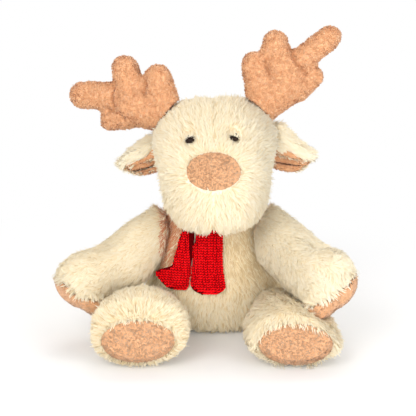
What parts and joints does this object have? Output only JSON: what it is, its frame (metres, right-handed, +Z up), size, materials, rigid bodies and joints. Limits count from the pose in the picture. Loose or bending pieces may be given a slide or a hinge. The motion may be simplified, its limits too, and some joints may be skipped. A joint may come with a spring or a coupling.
{
  "type": "plush deer",
  "caption": "Sitting plush deer with stuffed branched antlers, folded ears, velvet nose and pads, and a knitted scarf. Head, antlers, ears, limbs and scarf tails move.",
  "frame": {"origin": "middle of the seat, on the floor that the deer sits on", "axes": "+Z up, the deer faces -Y, its own left side is at +X"},
  "size_m": [0.2599, 0.215, 0.2651],
  "materials": {
    "cream_pile": "long soft pile, matt",
    "tan_velvet": "short velvet pile, matt",
    "red_knit": "fine knitted yarn, matt",
    "eye_plastic": "polished",
    "washer_plastic": "as moulded"
  },
  "bodies": {
    "torso": {"torso": "cream_pile", "tail": "cream_pile", "scarf_wrap": "red_knit", "scarf_crossing": "red_knit"},
    "head": {"head": "cream_pile", "nose_patch": "tan_velvet", "eye_left": "eye_plastic", "eye_right": "eye_plastic", "eye_washer_left": "washer_plastic", "eye_washer_right": "washer_plastic"},
    "antler_left": {"antler_left": "tan_velvet"},
    "ear_left": {"ear_left": "cream_pile", "ear_lining_left": "tan_velvet"},
    "arm_left": {"arm_left": "cream_pile", "hand_pad_left": "tan_velvet"},
    "leg_left": {"leg_left": "cream_pile", "foot_pad_left": "tan_velvet"},
    "scarf_tail_left": {"scarf_tail_left": "red_knit"},
    "antler_right": {"antler_right": "tan_velvet"},
    "ear_right": {"ear_right": "cream_pile", "ear_lining_right": "tan_velvet"},
    "arm_right": {"arm_right": "cream_pile", "hand_pad_right": "tan_velvet"},
    "leg_right": {"leg_right": "cream_pile", "foot_pad_right": "tan_velvet"},
    "scarf_tail_right": {"scarf_tail_right": "red_knit"}
  },
  "joints": [
    {"name": "head_turn", "type": "hinge", "parent": "torso", "child": "head", "pos_m": [0, 0, 0.1185], "axis": [0, 0, 1], "range_deg": [-20, 20], "stiffness_Nm_per_rad": 0.3},
    {"name": "antler_bend_left", "type": "hinge", "parent": "head", "child": "antler_left", "pos_m": [0.04045, 0.00124, 0.19062], "axis": [0, -1, 0], "range_deg": [0, 14]},
    {"name": "ear_droop_left", "type": "hinge", "parent": "head", "child": "ear_left", "pos_m": [0.0507, 0.00305, 0.15811], "axis": [0, 1, 0], "range_deg": [0, 20], "stiffness_Nm_per_rad": 0.05},
    {"name": "arm_lift_left", "type": "hinge", "parent": "torso", "child": "arm_left", "pos_m": [0.038, -0.006, 0.088], "axis": [0, -1, 0], "range_deg": [0, 15]},
    {"name": "leg_spread_left", "type": "hinge", "parent": "torso", "child": "leg_left", "pos_m": [0.033, -0.015, 0.02], "axis": [0, 0, 1], "range_deg": [-12, 0]},
    {"name": "scarf_lift_left", "type": "hinge", "parent": "torso", "child": "scarf_tail_left", "pos_m": [-0.00504, -0.04647, 0.09837], "axis": [-1, 0, 0], "range_deg": [0, 40]},
    {"name": "antler_bend_right", "type": "hinge", "parent": "head", "child": "antler_right", "pos_m": [-0.04242, 0.00283, 0.18628], "axis": [0, 1, 0], "range_deg": [0, 14]},
    {"name": "ear_droop_right", "type": "hinge", "parent": "head", "child": "ear_right", "pos_m": [-0.04922, 0.00496, 0.15437], "axis": [0, -1, 0], "range_deg": [0, 20], "stiffness_Nm_per_rad": 0.05},
    {"name": "arm_lift_right", "type": "hinge", "parent": "torso", "child": "arm_right", "pos_m": [-0.038, -0.006, 0.088], "axis": [0, 1, 0], "range_deg": [0, 15]},
    {"name": "leg_spread_right", "type": "hinge", "parent": "torso", "child": "leg_right", "pos_m": [-0.033, -0.015, 0.02], "axis": [0, 0, -1], "range_deg": [-12, 0]},
    {"name": "scarf_lift_right", "type": "hinge", "parent": "torso", "child": "scarf_tail_right", "pos_m": [-0.02425, -0.04327, 0.09849], "axis": [-1, 0, 0], "range_deg": [0, 40]}
  ]
}
